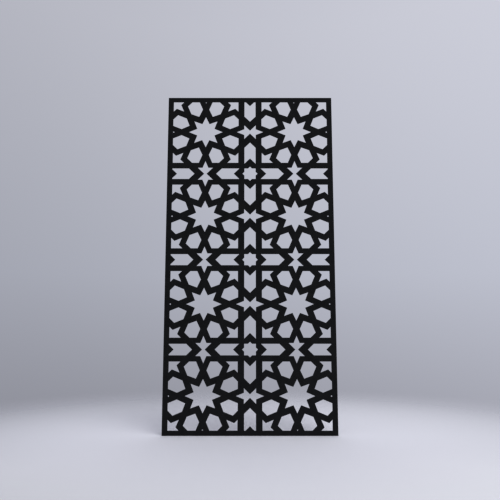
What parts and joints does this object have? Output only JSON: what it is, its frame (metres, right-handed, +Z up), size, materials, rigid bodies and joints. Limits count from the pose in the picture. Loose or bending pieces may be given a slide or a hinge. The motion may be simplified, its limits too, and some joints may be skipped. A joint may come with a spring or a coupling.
{
  "type": "mashrabiya screen",
  "caption": "Tall flat metal screen panel, laser-cut with an eight-fold star and rosette strapwork pattern, with small screw holes round its plain rim.",
  "frame": {"origin": "on the panel's back face, on its upright centre line, level with the two screw holes in the bottom rail", "axes": "+X to the right seen from the front, +Z up the panel, +Y out of the back face, the front faces -Y"},
  "size_m": [1, 0.003, 2],
  "materials": {
    "powder_coat": "matt black powder coat"
  },
  "bodies": {
    "root": {"screen_panel": "powder_coat"}
  },
  "joints": []
}
